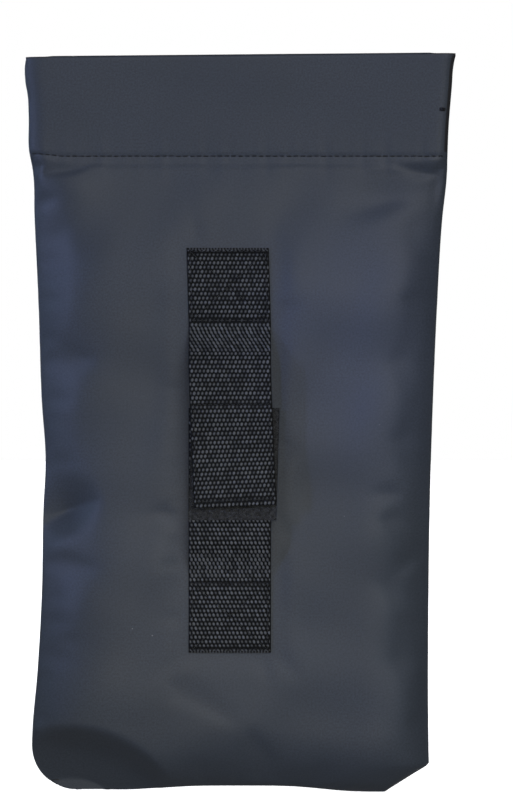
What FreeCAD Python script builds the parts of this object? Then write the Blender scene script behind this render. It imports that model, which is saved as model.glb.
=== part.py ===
"""Film pouch for a belt: a soft bag with a spring-frame mouth and a two-part webbing belt loop.

Each physical piece is one STEP file in parts/. The origin is the centre of the belt passage, between the
bag's face and the strap. +X is to the right of the strap seen from outside, +Y goes into the bag and
+Z goes up to the mouth. Lengths are in millimetres.
"""
import FreeCAD
import Part
import math
import os

# Belt loop: 38 mm webbing, a lower tab that stands up behind an upper flap
WEBBING_WIDTH = 38.0
WEBBING_THICKNESS = 1.5
BELT_GAP = 6.0  # clear depth between the bag's face and the lower tab
PASSAGE_HEIGHT = 117.6  # between the two bar seams that a belt lies between
UPPER_BOX_HEIGHT = 35.3
LOWER_BOX_HEIGHT = 33.9
STRAP_RISE = 13.0  # height over which a strap lifts off the bag
STRAP_BEND_RADIUS = 7.0
FLAP_END_Z = -24.9
TAB_END_Z = 20.2
HOOK_TOP_Z = 23.6
LOOP_BOTTOM_Z = -31.4
HOOK_THICKNESS = 1.2
LOOP_THICKNESS = 1.3
LOOP_WIDTH = 38.5
LOOP_SHIFT = 2.0  # the loop tape is sewn on a little to the right
TAPE_GAP = 0.3
HINGE_CLEARANCE = 0.55  # from a strap's rolled root to the sewn webbing beside it

# Bag panels
STRAP_SIDE_DEPTH = 16.0  # from the side seam's plane to the face under the strap
PLAIN_SIDE_DEPTH = 14.0
WALL = 0.8
FLAT_HALF_WIDTH = 21.0  # the sewn webbing keeps this strip of the face flat
SEAM_LAND = 3.0
SEAM_GAP = 0.3  # room for the thread between the two panels
SEAM_INSET = 1.0
BOTTOM_SEAM_HEIGHT = 3.5
PANEL_TOP_Z = 132.7
MOUTH_SHARE = 0.375  # of the full depth, where the panel meets the hem

# The bag's outline, from the mouth down: height, left edge, right edge, share of the full depth
OUTLINE = [
    (PANEL_TOP_Z, -92.4, 100.3, MOUTH_SHARE),
    (118.0, -91.4, 98.2, 0.68),
    (100.0, -90.3, 96.4, 1.0),
    (60.0, -88.6, 94.6, 1.0),
    (0.0, -86.9, 93.2, 1.0),
    (-60.0, -86.9, 92.0, 1.0),
    (-100.0, -88.6, 91.4, 1.0),
    (-125.0, -91.0, 91.6, 0.76),
    (-137.0, -92.0, 91.8, 0.54),
    (-145.0, -89.8, 92.0, 0.38),
    (-152.0, -84.2, 81.4, 0.22),
    (-157.5, -70.0, 72.6, 0.085),
]

# Hem at the mouth: a folded casing on each panel
HEM_BOTTOM_Z = 133.0
HEM_TOP_Z = 184.2
HEM_BOTTOM_EDGES = (-92.5, 100.4)
HEM_TOP_EDGES = (-94.8, 105.0)
MOUTH_GAP = 6.0
HEM_THICKNESS = 3.0
HEM_STITCH_Z = 137.8
CHANNEL_BOTTOM_Z = 139.5
CHANNEL_TOP_Z = 183.2
INNER_PLY_SETBACK = 10.5  # the casing is open at its ends, where the frame's hinges are

# Spring frame: two strips whose rolled ends meet on a pin at each side
STRIP_HEIGHT = 25.0
STRIP_THICKNESS = 0.5
STRIP_CENTRE_Z = 159.6
PIN_X = (-90.0, 99.0)
PIN_RADIUS = 1.2
PIN_CLEARANCE = 0.06
PIN_HEAD_RADIUS = 1.9
PIN_HEAD_HEIGHT = 0.6
KNUCKLE_RADIUS = 2.0
KNUCKLE_GAP = 0.1
STRIP_BEND_LENGTH = 6.0

# Thread
THREAD_WIDTH = 0.5
THREAD_HEIGHT = 0.3
STITCH_INSET = 1.6

# Values that follow from the sizes above
FACE_Y = BELT_GAP / 2
SEAM_Y = FACE_Y + STRAP_SIDE_DEPTH
TAB_MIDDLE_Y = -BELT_GAP / 2 - WEBBING_THICKNESS / 2
TAB_FRONT_Y = TAB_MIDDLE_Y - WEBBING_THICKNESS / 2
LOOP_FRONT_Y = TAB_FRONT_Y - LOOP_THICKNESS
HOOK_BACK_Y = LOOP_FRONT_Y - TAPE_GAP
FLAP_BACK_Y = HOOK_BACK_Y - HOOK_THICKNESS
FLAP_MIDDLE_Y = FLAP_BACK_Y - WEBBING_THICKNESS / 2
ANCHOR_FRONT_Y = FACE_Y - WEBBING_THICKNESS
HINGE_Y = ANCHOR_FRONT_Y - HINGE_CLEARANCE - WEBBING_THICKNESS / 2
HINGE_Z = PASSAGE_HEIGHT / 2


def vector(x, y, z):
    """A FreeCAD point."""
    return FreeCAD.Vector(x, y, z)


def block(x, y, z):
    """A box from its (low, high) pair along each axis."""
    corner = vector(x[0], y[0], z[0])
    return Part.makeBox(x[1] - x[0], y[1] - y[0], z[1] - z[0], corner)


def prism(points, travel):
    """A closed polygon of 3-D points pushed along a travel vector."""
    outline = Part.makePolygon(points + [points[0]])
    return Part.Face(outline).extrude(travel)


def rod(x, y, z, radius):
    """An upright cylinder on the axis at x, y, from z[0] up to z[1]."""
    return Part.makeCylinder(radius, z[1] - z[0], vector(x, y, z[0]))


def save(name, shape):
    """Writes one piece."""
    shape.exportStep(os.path.join("parts", name + ".step"))


# Panels


def outline_at(z):
    """Left edge, right edge and share of the depth at a height, between the outline's points."""
    for upper, lower in zip(OUTLINE, OUTLINE[1:]):
        if lower[0] <= z <= upper[0]:
            t = (z - lower[0]) / (upper[0] - lower[0])
            return [low + t * (high - low) for low, high in zip(lower[1:], upper[1:])]
    return OUTLINE[0][1:]


def bulge_arc(tip_x, flat_x, z, base_y, depth, side):
    """The arc from the seam at tip_x out to the flat at flat_x, which it meets without a corner."""
    width = abs(flat_x - tip_x)
    radius = (width**2 + depth**2) / (2 * depth)
    half_turn = math.atan2(width, radius - depth) / 2
    towards_tip = math.copysign(1, tip_x - flat_x)
    middle_x = flat_x + towards_tip * radius * math.sin(half_turn)
    middle_y = base_y + side * (depth - radius * (1 - math.cos(half_turn)))
    start = vector(tip_x, base_y, z)
    end = vector(flat_x, base_y + side * depth, z)
    return start, vector(middle_x, middle_y, z), end


def panel_section(z, inset, depth, base_y, side, skirt):
    """A level slice of a panel: arc, flat and arc, closed by a chord that lies skirt beyond base_y."""
    left, right, _ = outline_at(min(z, PANEL_TOP_Z))
    left_arc = bulge_arc(left + inset, -FLAT_HALF_WIDTH, z, base_y, depth, side)
    right_arc = bulge_arc(right - inset, FLAT_HALF_WIDTH, z, base_y, depth, side)
    edges = [
        Part.Arc(*left_arc).toShape(),
        Part.makeLine(left_arc[2], right_arc[2]),
        Part.Arc(*reversed(right_arc)).toShape(),
    ]
    corners = [right_arc[0]]
    if skirt:
        corners.append(right_arc[0] - vector(0, side * skirt, 0))
        corners.append(left_arc[0] - vector(0, side * skirt, 0))
    corners.append(left_arc[0])
    edges += [Part.makeLine(a, b) for a, b in zip(corners, corners[1:])]
    return Part.Wire(edges)


def panel(full_depth, side):
    """A panel's shell, with flat lands at the sides and the bottom where it is sewn to the other."""
    base_y = SEAM_Y + side * SEAM_GAP / 2
    usable_depth = full_depth - SEAM_GAP / 2
    heights = [row[0] for row in OUTLINE]
    outer = Part.makeLoft(
        [panel_section(z, 0, usable_depth * outline_at(z)[2], base_y, side, 0) for z in heights],
        True,
        True,
    )
    hollow_bottom = heights[-1] + BOTTOM_SEAM_HEIGHT
    hollow_heights = [PANEL_TOP_Z + 1] + heights[:-1] + [hollow_bottom]
    hollow = []
    for z in hollow_heights:
        depth = usable_depth * outline_at(min(z, PANEL_TOP_Z))[2] - WALL
        hollow.append(panel_section(z, SEAM_LAND, depth, base_y, side, 1.0))
    return outer.cut(Part.makeLoft(hollow, True, True))


def seam_ribbon_outline(inset):
    """The seam line's path, inset from the bag's edge: down the left side and up the right."""
    left = [vector(row[1] + inset, 0, row[0]) for row in OUTLINE]
    right = [vector(row[2] - inset, 0, row[0]) for row in OUTLINE]
    left[-1].z += inset
    right[-1].z += inset
    return left + right[::-1]


def seam_stitching():
    """The thread that joins the panels down both sides and across the bottom."""
    base = vector(0, SEAM_Y - SEAM_GAP / 2, 0)
    travel = vector(0, SEAM_GAP, 0)
    outer = [base + p for p in seam_ribbon_outline(SEAM_INSET)]
    inner = [base + p for p in seam_ribbon_outline(SEAM_INSET + THREAD_WIDTH)]
    inner[0].z += 1
    inner[-1].z += 1
    return prism(outer, travel).cut(prism(inner, travel))


# Hem and spring frame


def hem_edges_at(z):
    """The hem's left and right edges at a height."""
    t = (z - HEM_BOTTOM_Z) / (HEM_TOP_Z - HEM_BOTTOM_Z)
    return [low + t * (high - low) for low, high in zip(HEM_BOTTOM_EDGES, HEM_TOP_EDGES)]


def span(side, near, far):
    """The (low, high) pair in Y between two distances from the seam's plane, on one side of it."""
    return tuple(sorted((SEAM_Y + side * near, SEAM_Y + side * far)))


def hem_layers(side):
    """The (low, high) pairs in Y of a hem's full thickness and of the channel in it."""
    near = MOUTH_GAP / 2
    far = near + HEM_THICKNESS
    return span(side, near, far), span(side, near + WALL, far - WALL)


def hem(side):
    """A folded casing: closed at its top fold and its stitched foot, and open at both ends."""
    full, channel = hem_layers(side)
    corners = []
    for z in (HEM_BOTTOM_Z, HEM_TOP_Z):
        left, right = hem_edges_at(z)
        ends = [vector(left, full[0], z), vector(right, full[0], z)]
        corners += ends if not corners else ends[::-1]
    casing = prism(corners, vector(0, full[1] - full[0], 0))
    beyond = (HEM_BOTTOM_Z - 1, HEM_TOP_Z + 1)
    reach = 2 * HEM_TOP_EDGES[1]
    casing = casing.cut(block((-reach, reach), channel, (CHANNEL_BOTTOM_Z, CHANNEL_TOP_Z)))
    left, right = hem_edges_at(STRIP_CENTRE_Z)
    inner = span(side, 0, MOUTH_GAP / 2 + HEM_THICKNESS - WALL)
    casing = casing.cut(block((-reach, left + INNER_PLY_SETBACK), inner, beyond))
    return casing.cut(block((right - INNER_PLY_SETBACK, reach), inner, beyond))


def knuckle_spans(side):
    """The heights of a strip's knuckles: two outer ones on the strap side, and a middle one between them."""
    low = STRIP_CENTRE_Z - STRIP_HEIGHT / 2
    third = STRIP_HEIGHT / 3
    bounds = [(low + i * third + KNUCKLE_GAP / 2, low + (i + 1) * third - KNUCKLE_GAP / 2) for i in range(3)]
    return [bounds[0], bounds[2]] if side < 0 else [bounds[1]]


def spring_strip(side):
    """A flat spring in the hem's channel, with its ends bent in and rolled round the frame's pins."""
    _, channel = hem_layers(side)
    middle_y = (channel[0] + channel[1]) / 2
    half = STRIP_THICKNESS / 2
    low = STRIP_CENTRE_Z - STRIP_HEIGHT / 2
    flat_x = (PIN_X[0] + STRIP_BEND_LENGTH, PIN_X[1] - STRIP_BEND_LENGTH)
    strip = block(flat_x, (middle_y - half, middle_y + half), (low, low + STRIP_HEIGHT))
    bores = []
    for pin_x, flat_end, inward in ((PIN_X[0], flat_x[0], 1), (PIN_X[1], flat_x[1], -1)):
        root_x = pin_x + inward * KNUCKLE_RADIUS * 0.6
        root_y = SEAM_Y + side * KNUCKLE_RADIUS * 0.65
        for z in knuckle_spans(side):
            link = [
                vector(flat_end, middle_y - half, z[0]),
                vector(flat_end, middle_y + half, z[0]),
                vector(root_x, root_y + half, z[0]),
                vector(root_x, root_y - half, z[0]),
            ]
            strip = strip.fuse(prism(link, vector(0, 0, z[1] - z[0])))
            strip = strip.fuse(rod(pin_x, SEAM_Y, z, KNUCKLE_RADIUS))
        bores.append(rod(pin_x, SEAM_Y, (low - 1, low + STRIP_HEIGHT + 1), PIN_RADIUS + PIN_CLEARANCE))
    return strip.cut(bores).removeSplitter()


def frame_pin(x):
    """A hinge pin with a small head at each end."""
    low = STRIP_CENTRE_Z - STRIP_HEIGHT / 2 - KNUCKLE_GAP
    high = STRIP_CENTRE_Z + STRIP_HEIGHT / 2 + KNUCKLE_GAP
    pin = rod(x, SEAM_Y, (low, high), PIN_RADIUS)
    pin = pin.fuse(rod(x, SEAM_Y, (low - PIN_HEAD_HEIGHT, low), PIN_HEAD_RADIUS))
    return pin.fuse(rod(x, SEAM_Y, (high, high + PIN_HEAD_HEIGHT), PIN_HEAD_RADIUS))


def hem_stitching(side):
    """The line of thread across a hem's outer face, above its foot."""
    left, right = hem_edges_at(HEM_STITCH_Z)
    outer_face = MOUTH_GAP / 2 + HEM_THICKNESS
    depth = span(side, outer_face, outer_face + THREAD_HEIGHT)
    height = (HEM_STITCH_Z - THREAD_WIDTH / 2, HEM_STITCH_Z + THREAD_WIDTH / 2)
    return block((left + SEAM_INSET, right - SEAM_INSET), depth, height)


# Belt loop


def strap_anchor(low, high):
    """Webbing that lies sewn on the bag's face."""
    half = WEBBING_WIDTH / 2
    return block((-half, half), (ANCHOR_FRONT_Y, FACE_Y), (low, high))


def strap_leaf(direction, face_y, end_z):
    """Webbing that rises from its root at a bar seam to face_y, then runs straight to end_z."""
    root = vector(0, HINGE_Y, direction * HINGE_Z)
    knee = vector(0, face_y, direction * (HINGE_Z - STRAP_RISE))
    rolled_end = vector(0, face_y, end_z - math.copysign(WEBBING_THICKNESS / 2, end_z - knee.z))
    first_way = (root - knee).normalize()
    last_way = (rolled_end - knee).normalize()
    half_turn = (math.pi - first_way.getAngle(last_way)) / 2
    set_back = STRAP_BEND_RADIUS * math.tan(half_turn)
    start = knee + first_way * set_back
    end = knee + last_way * set_back
    rise = STRAP_BEND_RADIUS * (1 / math.cos(half_turn) - 1)
    middle = knee + (first_way + last_way).normalize() * rise
    path = Part.Wire(
        [
            Part.makeLine(root, start),
            Part.Arc(start, middle, end).toShape(),
            Part.makeLine(end, rolled_end),
        ]
    )
    outline = path.makeOffset2D(WEBBING_THICKNESS / 2, 0, False, False, True)
    leaf = Part.Face(outline).extrude(vector(WEBBING_WIDTH, 0, 0))
    leaf.translate(vector(-WEBBING_WIDTH / 2, 0, 0))
    return leaf


def box_stitching(x, y, z, crossed):
    """Thread sewn in a box, with a cross in it where crossed is true."""
    half = THREAD_WIDTH / 2
    outer = block((x[0] - half, x[1] + half), y, (z[0] - half, z[1] + half))
    frame = outer.cut(block((x[0] + half, x[1] - half), y, (z[0] + half, z[1] - half)))
    if not crossed:
        return frame
    travel = vector(0, y[1] - y[0], 0)
    for start_z, end_z in (z, z[::-1]):
        diagonal = [
            vector(x[0], y[0], start_z - half),
            vector(x[1], y[0], end_z - half),
            vector(x[1], y[0], end_z + half),
            vector(x[0], y[0], start_z + half),
        ]
        frame = frame.fuse(prism(diagonal, travel))
    return frame.removeSplitter()


def tape_stitch_span(half_width):
    """Left and right of a box of stitches, inside a tape's edges."""
    return (STITCH_INSET - half_width, half_width - STITCH_INSET)


def make_bag():
    """The two panels and the thread that joins them."""
    save("strap_side_panel", panel(STRAP_SIDE_DEPTH, -1))
    save("plain_side_panel", panel(PLAIN_SIDE_DEPTH, 1))
    save("seam_stitching", seam_stitching())


def make_mouth():
    """The hems, their thread, and the spring frame in them."""
    for name, side in (("strap_side", -1), ("plain_side", 1)):
        save(name + "_hem", hem(side))
        save(name + "_hem_stitching", hem_stitching(side))
        save(name + "_spring_strip", spring_strip(side))
    for name, x in zip(("left", "right"), PIN_X):
        save(name + "_frame_pin", frame_pin(x))


def make_upper_strap():
    """The sewn end, the free flap and the hook tape on the flap's back."""
    low = HINGE_Z
    high = HINGE_Z + UPPER_BOX_HEIGHT
    half = WEBBING_WIDTH / 2
    across = tape_stitch_span(half)
    save("upper_strap_anchor", strap_anchor(low, high))
    save("upper_strap_flap", strap_leaf(1, FLAP_MIDDLE_Y, FLAP_END_Z))
    save("hook_tape", block((-half, half), (FLAP_BACK_Y, HOOK_BACK_Y), (FLAP_END_Z + 0.5, HOOK_TOP_Z)))
    on_anchor = (ANCHOR_FRONT_Y - THREAD_HEIGHT, ANCHOR_FRONT_Y)
    on_anchor_span = (low + STITCH_INSET, high - STITCH_INSET)
    save("upper_box_stitching", box_stitching(across, on_anchor, on_anchor_span, True))
    flap_front = FLAP_BACK_Y - WEBBING_THICKNESS
    on_flap = (flap_front - THREAD_HEIGHT, flap_front)
    flap_span = (FLAP_END_Z + 2 * STITCH_INSET, HOOK_TOP_Z - STITCH_INSET)
    save("hook_tape_stitching", box_stitching(across, on_flap, flap_span, False))


def make_lower_strap():
    """The sewn end, the standing tab and the loop tape on the tab's face."""
    low = -HINGE_Z - LOWER_BOX_HEIGHT
    high = -HINGE_Z
    half = LOOP_WIDTH / 2
    across = tape_stitch_span(WEBBING_WIDTH / 2)
    save("lower_strap_anchor", strap_anchor(low, high))
    save("lower_strap_tab", strap_leaf(-1, TAB_MIDDLE_Y, TAB_END_Z))
    loop_x = (LOOP_SHIFT - half, LOOP_SHIFT + half)
    save("loop_tape", block(loop_x, (LOOP_FRONT_Y, TAB_FRONT_Y), (LOOP_BOTTOM_Z, TAB_END_Z)))
    on_anchor = (ANCHOR_FRONT_Y - THREAD_HEIGHT, ANCHOR_FRONT_Y)
    on_anchor_span = (low + STITCH_INSET, high - STITCH_INSET)
    save("lower_box_stitching", box_stitching(across, on_anchor, on_anchor_span, True))
    tab_back = TAB_MIDDLE_Y + WEBBING_THICKNESS / 2
    on_tab = (tab_back, tab_back + THREAD_HEIGHT)
    tab_span = (LOOP_BOTTOM_Z + STITCH_INSET, TAB_END_Z - STITCH_INSET)
    save("loop_tape_stitching", box_stitching(across, on_tab, tab_span, False))


os.makedirs("parts", exist_ok=True)
make_bag()
make_mouth()
make_upper_strap()
make_lower_strap()
print("hinge axes at y", HINGE_Y, "and z", HINGE_Z, -HINGE_Z)
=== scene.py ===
"""Looks of the film changing bag: coated cloth, webbing belt loop, spring frame and stitching.

Lengths here are millimetres in the CAD part's frame, and add_mesh() turns them into metres.
+X is to the right of the strap, +Y goes into the bag and +Z goes up to the mouth.
"""

import math

import bpy
import numpy as np
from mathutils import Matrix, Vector


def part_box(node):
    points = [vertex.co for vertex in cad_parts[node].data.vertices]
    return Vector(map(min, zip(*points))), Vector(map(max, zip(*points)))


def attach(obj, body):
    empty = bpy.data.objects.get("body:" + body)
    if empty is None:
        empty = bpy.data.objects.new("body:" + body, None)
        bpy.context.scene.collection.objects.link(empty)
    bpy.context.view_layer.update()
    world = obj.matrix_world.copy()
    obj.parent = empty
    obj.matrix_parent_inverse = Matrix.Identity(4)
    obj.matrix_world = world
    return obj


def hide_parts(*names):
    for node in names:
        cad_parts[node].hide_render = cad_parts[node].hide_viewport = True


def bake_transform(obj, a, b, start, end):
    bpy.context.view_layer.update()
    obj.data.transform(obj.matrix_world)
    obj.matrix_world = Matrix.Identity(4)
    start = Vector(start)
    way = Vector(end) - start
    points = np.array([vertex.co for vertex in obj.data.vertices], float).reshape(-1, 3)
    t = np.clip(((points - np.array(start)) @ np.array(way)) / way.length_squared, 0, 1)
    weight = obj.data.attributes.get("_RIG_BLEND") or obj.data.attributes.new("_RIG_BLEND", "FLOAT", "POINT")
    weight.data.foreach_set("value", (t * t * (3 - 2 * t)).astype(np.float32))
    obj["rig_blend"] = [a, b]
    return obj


MM = 0.001

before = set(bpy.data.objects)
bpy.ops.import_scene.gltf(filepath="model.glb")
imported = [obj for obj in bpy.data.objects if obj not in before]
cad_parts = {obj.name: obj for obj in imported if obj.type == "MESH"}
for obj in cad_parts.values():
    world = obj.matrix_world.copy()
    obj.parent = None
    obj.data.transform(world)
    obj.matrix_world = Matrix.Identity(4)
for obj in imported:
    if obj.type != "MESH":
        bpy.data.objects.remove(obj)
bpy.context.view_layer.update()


def node_box(node):
    """The lowest and highest corner of a CAD node, in millimetres."""
    low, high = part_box(node)
    return np.array(low) / MM, np.array(high) / MM


# Places that come from the CAD part
PANEL_LOW, PANEL_HIGH = node_box("strap_side_panel")
PLAIN_LOW, PLAIN_HIGH = node_box("plain_side_panel")
HEM_LOW, HEM_HIGH = node_box("strap_side_hem")
HEM_STITCH_LOW, HEM_STITCH_HIGH = node_box("strap_side_hem_stitching")
UPPER_ANCHOR_LOW, UPPER_ANCHOR_HIGH = node_box("upper_strap_anchor")
LOWER_ANCHOR_LOW, LOWER_ANCHOR_HIGH = node_box("lower_strap_anchor")
FLAP_LOW, FLAP_HIGH = node_box("upper_strap_flap")
TAB_LOW, TAB_HIGH = node_box("lower_strap_tab")
HOOK_LOW, HOOK_HIGH = node_box("hook_tape")
LOOP_LOW, LOOP_HIGH = node_box("loop_tape")
STRIP_LOW, STRIP_HIGH = node_box("strap_side_spring_strip")
SEAM_Y = (PANEL_HIGH[1] + PLAIN_LOW[1]) / 2
FACE_Y = PANEL_LOW[1]
HEM_STITCH_Z = (HEM_STITCH_LOW[2] + HEM_STITCH_HIGH[2]) / 2 - 0.9
FRAME_PINS = ("left_frame_pin", "right_frame_pin")
PIN_X = [sum(corner[0] for corner in node_box(pin)) / 2 for pin in FRAME_PINS]

STRAP_SIDE, PLAIN_SIDE = -1, 1
SIDE_NAMES = {STRAP_SIDE: "strap_side", PLAIN_SIDE: "plain_side"}
FULL_DEPTH = {STRAP_SIDE: SEAM_Y - FACE_Y, PLAIN_SIDE: PLAIN_HIGH[1] - SEAM_Y}


def smooth(t):
    """A smooth step from 0 to 1 as t goes from 0 to 1."""
    t = np.clip(t, 0, 1)
    return t * t * (3 - 2 * t)


def mix(a, b, t):
    """The value a share t of the way from a to b."""
    return a + (b - a) * t


# Meshes


def add_mesh(name, points, faces, materials, uv=None, values=None):
    """A smooth-shaded mesh from points in millimetres, with its corner UVs and named point values."""
    mesh = bpy.data.meshes.new(name)
    mesh.from_pydata((np.asarray(points) * MM).tolist(), [], [list(map(int, f)) for f in faces])
    for material in materials:
        mesh.materials.append(material)
    mesh.polygons.foreach_set("use_smooth", [True] * len(mesh.polygons))
    if uv is not None:
        corner_points = np.zeros(len(mesh.loops), int)
        mesh.loops.foreach_get("vertex_index", corner_points)
        layer = mesh.uv_layers.new(name="UVMap")
        layer.data.foreach_set("uv", np.asarray(uv)[corner_points].astype(np.float32).ravel())
    for key, value in (values or {}).items():
        attribute = mesh.attributes.new(key, "FLOAT", "POINT")
        attribute.data.foreach_set("value", np.asarray(value, np.float32))
    obj = bpy.data.objects.new(name, mesh)
    bpy.context.scene.collection.objects.link(obj)
    return obj


def grid_faces(rows, columns, closed=False, flip=False):
    """Quads between the points of a grid stored row by row; closed joins the last column to the first."""
    across = np.arange(columns if closed else columns - 1)
    right = (across + 1) % columns
    base = np.arange(rows - 1)[:, None] * columns
    quads = np.stack([base + across, base + right, base + right + columns, base + across + columns], -1)
    quads = quads.reshape(-1, 4)
    return quads[:, ::-1] if flip else quads


def curve_through(points, step):
    """Points about step apart on a Catmull-Rom curve through the given points."""
    points = np.asarray(points, float)
    padded = np.vstack([2 * points[0] - points[1], points, 2 * points[-1] - points[-2]])
    dense = []
    t = np.linspace(0, 1, 24, endpoint=False)[:, None]
    for a, b, c, d in zip(padded, padded[1:], padded[2:], padded[3:]):
        square = (2 * a - 5 * b + 4 * c - d) * t**2
        cube = (3 * b - a - 3 * c + d) * t**3
        dense.append(0.5 * (2 * b + (c - a) * t + square + cube))
    return evenly(np.vstack(dense + [points[-1:]]), step)


def unit(vectors):
    """The same vectors, each made 1 long."""
    return vectors / np.linalg.norm(vectors, axis=1)[:, None]


def point_list(*values):
    """Places along each axis, broadcast together, as one list of points."""
    return np.stack(np.broadcast_arrays(*values), -1).reshape(-1, len(values))


def distance_along(line):
    """Each point's distance from the first, along the line."""
    return np.concatenate([[0], np.cumsum(np.linalg.norm(np.diff(line, axis=0), axis=1))])


def evenly(line, step):
    """The same line with points about step apart."""
    along = distance_along(line)
    at = np.linspace(0, along[-1], max(2, round(along[-1] / step) + 1))
    return np.stack([np.interp(at, along, line[:, k]) for k in range(line.shape[1])], axis=1)


class Parts:
    """Points, faces, UVs and one value a point, gathered into one mesh."""

    def __init__(self):
        self.points, self.faces, self.uvs, self.values, self.count = [], [], [], [], 0

    def add(self, points, faces, uv, value):
        self.points.append(points)
        self.faces += [[i + self.count for i in face] for face in faces]
        self.uvs.append(uv)
        self.values.append(np.full(len(points), value))
        self.count += len(points)

    def build(self, name, material):
        values = {"shade": np.concatenate(self.values)}
        return add_mesh(name, np.vstack(self.points), self.faces, [material], np.vstack(self.uvs), values)


def add_tube(parts, line, radii, up, sides=6, shade=0.0):
    """A closed tube along a line, with a radius at each point; up is a direction well off the line's own."""
    line = np.asarray(line, float)
    along = unit(np.gradient(line, axis=0))
    across = unit(np.cross(along, np.broadcast_to(up, line.shape)))
    out = np.cross(across, along)
    angle = np.arange(sides) * 2 * math.pi / sides
    ring = np.cos(angle)[None, :, None] * across[:, None] + np.sin(angle)[None, :, None] * out[:, None]
    points = line[:, None] + ring * np.asarray(radii)[:, None, None]
    uv = point_list(angle / (2 * math.pi), distance_along(line)[:, None])
    faces = grid_faces(len(line), sides, closed=True).tolist()
    faces.append(list(range(sides))[::-1])
    faces.append([(len(line) - 1) * sides + i for i in range(sides)])
    parts.add(points.reshape(-1, 3), faces, uv, shade)


def declare(piece, slot, *nodes, body=None):
    """Hides the CAD nodes that a piece stands for and hangs it on the body that it rides, if any; slot, what
    it is made of, is not used.
    """
    if body:
        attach(piece, body)
    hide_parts(*nodes)


def thicken(sheet, thickness):
    """Gives a sheet its thickness, half of it on each side."""
    modifier = sheet.modifiers.new("thickness", "SOLIDIFY")
    modifier.thickness = thickness * MM
    modifier.offset = 0
    return modifier


# Camera, lights and stage

CAMERA_PLACE = (12.3, -2381.0, 21.8)
CAMERA_LENS = 229.9
FILL_BELOW, FILL_ABOVE = 0.275, 0.20
FILL_FRONT, FILL_BEHIND = 1.5, 0.42
FILL_COLOUR = (0.93, 0.96, 1.0, 1)

# Each sun: its name, the direction it shines from, its strength, its angle in degrees and its colour
KEY_LIGHT = ("key_light", (0.3, -0.84, 0.33), 1.2, 40, (0.96, 0.97, 0.98))
BACK_LIGHT = ("back_light", (-0.25, 0.93, 0.2), 2.8, 30, (0.96, 0.98, 1.0))

# Each spot: its name, its place and its target in metres, its full angle in degrees, its radius,
# its power and its colour
SPOTS = [
    ("window_light", (-1.25, -0.95, 0.35), (0.1, 0.0, 0.045), 5.6, 0.2, 480.0, (0.42, 0.52, 1.0)),
    ("window_pool", (-0.6, -1.5, 0.3), (0.082, 0.0, 0.05), 5.6, 0.02, 36.0, (0.32, 0.42, 1.0)),
    ("room_pool", (-0.1, -2.2, 0.1), (-0.02, 0.0, -0.06), 7.6, 0.1, 27.0, (1.0, 0.92, 0.66)),
    ("side_pool", (1.2, -1.2, 0.1), (0.09, 0.0, -0.08), 6.2, 0.1, 15.0, (0.6, 0.78, 1.0)),
]
RIM_PLACE = (-1.5, 0.15, 0.4)
RIM_SIZE = 0.8
RIM_POWER = 3.4
RIM_COLOUR = (0.42, 0.62, 1.0)
FLOOR_RINGS = (0.4, 1.2, 4.0, 14.0)  # radii in metres
FLOOR_GAP = 0.3


def make_camera():
    """A long lens square on to the strap side, which sees the whole bag."""
    data = bpy.data.cameras.new("camera")
    data.sensor_fit = "AUTO"
    data.sensor_width = 36
    data.lens = CAMERA_LENS
    data.clip_end = 100
    camera = bpy.data.objects.new("camera", data)
    camera.location = [v * MM for v in CAMERA_PLACE]
    camera.rotation_euler = (math.pi / 2, 0, 0)
    bpy.context.scene.collection.objects.link(camera)
    bpy.context.scene.camera = camera


def add_light(kind, name, power, colour, shines_from, place=(0, 0, 0), **settings):
    """A light at a place in metres, turned to shine from a direction."""
    data = bpy.data.lights.new(name, kind)
    data.energy = power
    data.color = colour
    for key, value in settings.items():
        setattr(data, key, value)
    light = bpy.data.objects.new(name, data)
    light.location = place
    light.rotation_euler = Vector(shines_from).to_track_quat("Z", "Y").to_euler()
    bpy.context.scene.collection.objects.link(light)


def add_sun(name, direction, strength, angle, colour):
    """A soft distant light that comes from a direction."""
    add_light("SUN", name, strength, colour, direction, angle=math.radians(angle))


def add_spot(name, place, target, spread, radius, power, colour):
    """A soft-edged beam from a place towards a target."""
    away = [a - b for a, b in zip(place, target)]
    settings = {"spot_size": math.radians(spread), "spot_blend": 1.0, "shadow_soft_size": radius}
    add_light("SPOT", name, power, colour, away, place, **settings)


def make_lights():
    """A soft key, coloured pools of light on the cloth, a light behind the bag and a cool rim at the left."""
    add_sun(*KEY_LIGHT)
    for spot in SPOTS:
        add_spot(*spot)
    add_sun(*BACK_LIGHT)
    rim = {"shape": "SQUARE", "size": RIM_SIZE}
    add_light("AREA", "rim_light", RIM_POWER, RIM_COLOUR, RIM_PLACE, RIM_PLACE, **rim)


class Nodes:
    """A node tree whose nodes are added one at a time."""

    def __init__(self, tree):
        self.tree = tree

    def add(self, kind, inputs=None, **settings):
        """A node with its settings; an input is a number, a colour or another node's output."""
        node = self.tree.nodes.new("ShaderNode" + kind)
        for key, value in settings.items():
            setattr(node, key, value)
        self.fill(node, inputs or {})
        return node

    def fill(self, node, inputs):
        for key, value in inputs.items():
            if isinstance(value, bpy.types.NodeSocket):
                self.tree.links.new(value, node.inputs[key])
            else:
                node.inputs[key].default_value = value

    def math(self, operation, a, b=0.0):
        """The output of one calculation on two inputs."""
        return self.add("Math", {0: a, 1: b}, operation=operation).outputs[0]

    def linear(self, value, factor, offset):
        """The output of value * factor + offset."""
        return self.math("ADD", self.math("MULTIPLY", value, factor), offset)

    def axis(self, place, name):
        """The output of a place's X, Y or Z."""
        return self.add("SeparateXYZ", {0: place}).outputs[name]

    def fade(self, value, start, end, low, high, **settings):
        """The output that goes from low to high as a value goes from start to end."""
        inputs = {"Value": value, "From Min": start, "From Max": end, "To Min": low, "To Max": high}
        return self.add("MapRange", inputs, **settings).outputs[0]


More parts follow.
